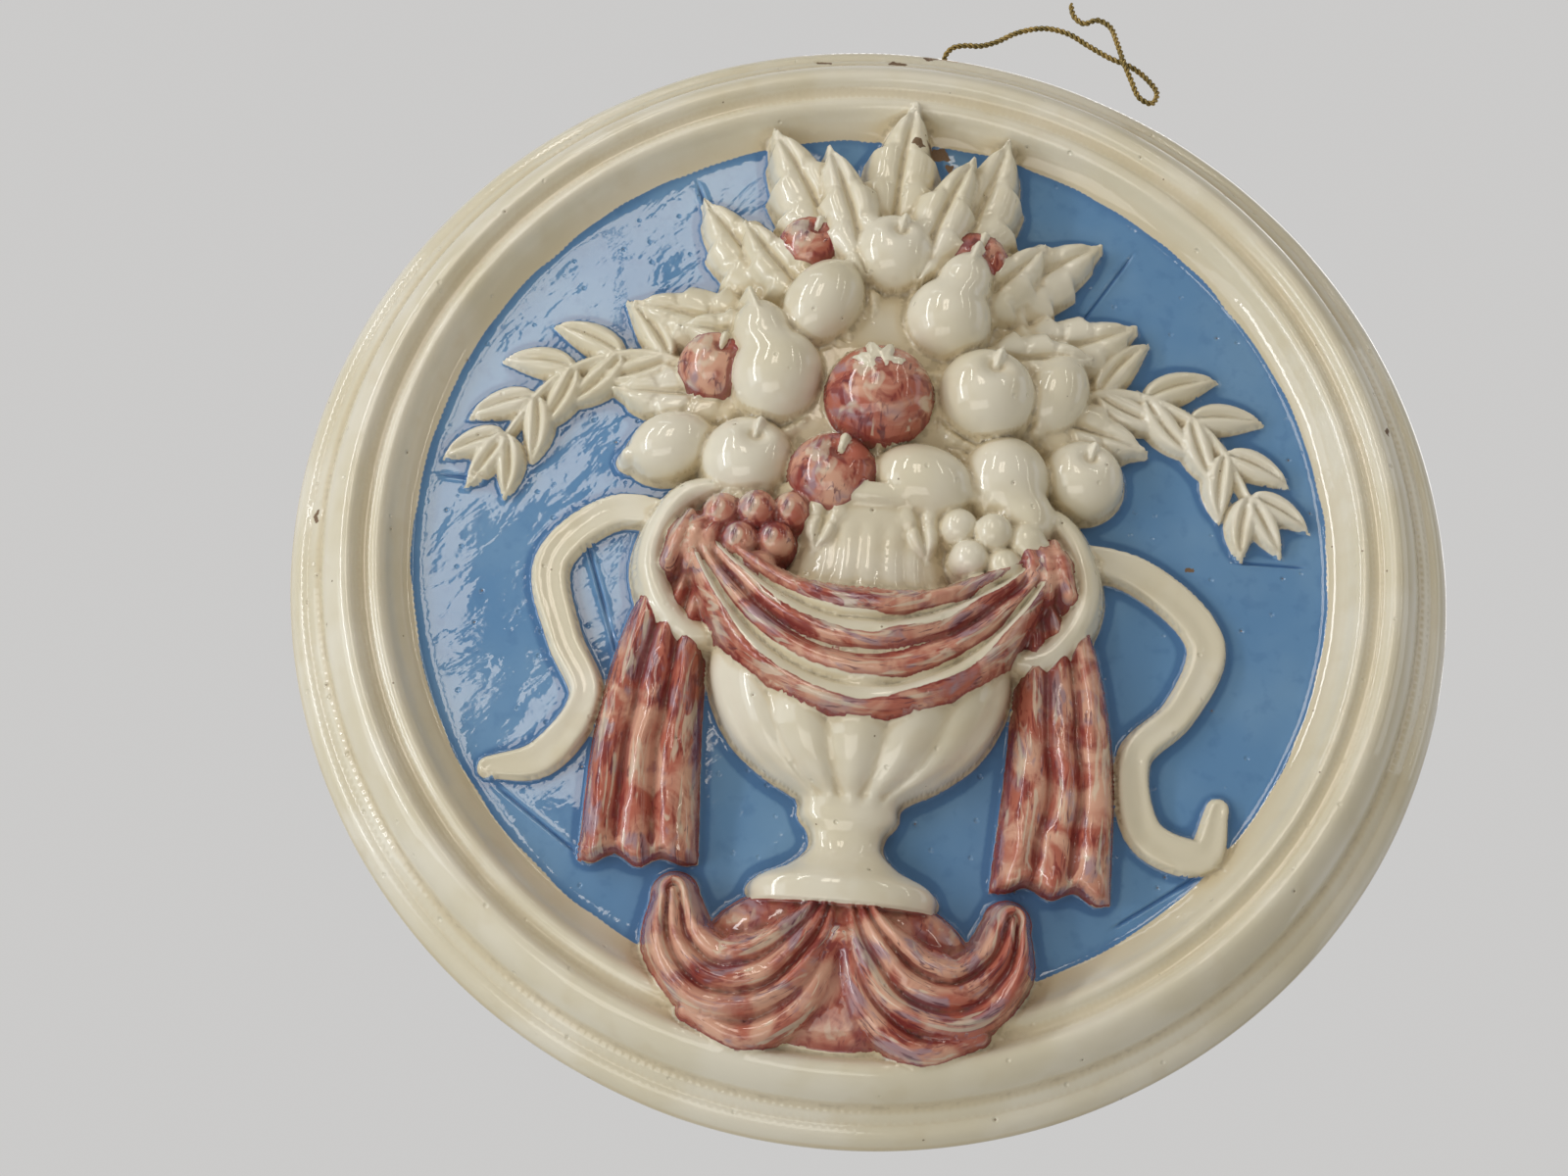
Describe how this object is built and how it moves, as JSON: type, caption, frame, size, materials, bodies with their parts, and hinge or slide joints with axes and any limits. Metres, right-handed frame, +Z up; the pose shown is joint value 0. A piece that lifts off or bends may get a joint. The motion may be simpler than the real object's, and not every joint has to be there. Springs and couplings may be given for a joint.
{
  "type": "decorative wall plaque",
  "caption": "Round glazed ceramic wall plaque with a moulded frame, an urn of fruit in high relief on a blue ground, and a twisted hanging wire.",
  "frame": {"origin": "on the wall, at the top of the flat foot ring, where the plaque hangs", "axes": "+Z up, +Y into the wall, the relief faces -Y, +X to the viewer's right"},
  "size_m": [0.33, 0.0386, 0.3542],
  "materials": {
    "glazed_ceramic": "glossy cream glaze with a blue ground and brushed mauve cloth, pitted and chipped; bare buff clay behind",
    "wire": "dull, aged twisted wire"
  },
  "bodies": {
    "root": {"plaque": "glazed_ceramic", "hanging_wire": "wire"}
  },
  "joints": []
}
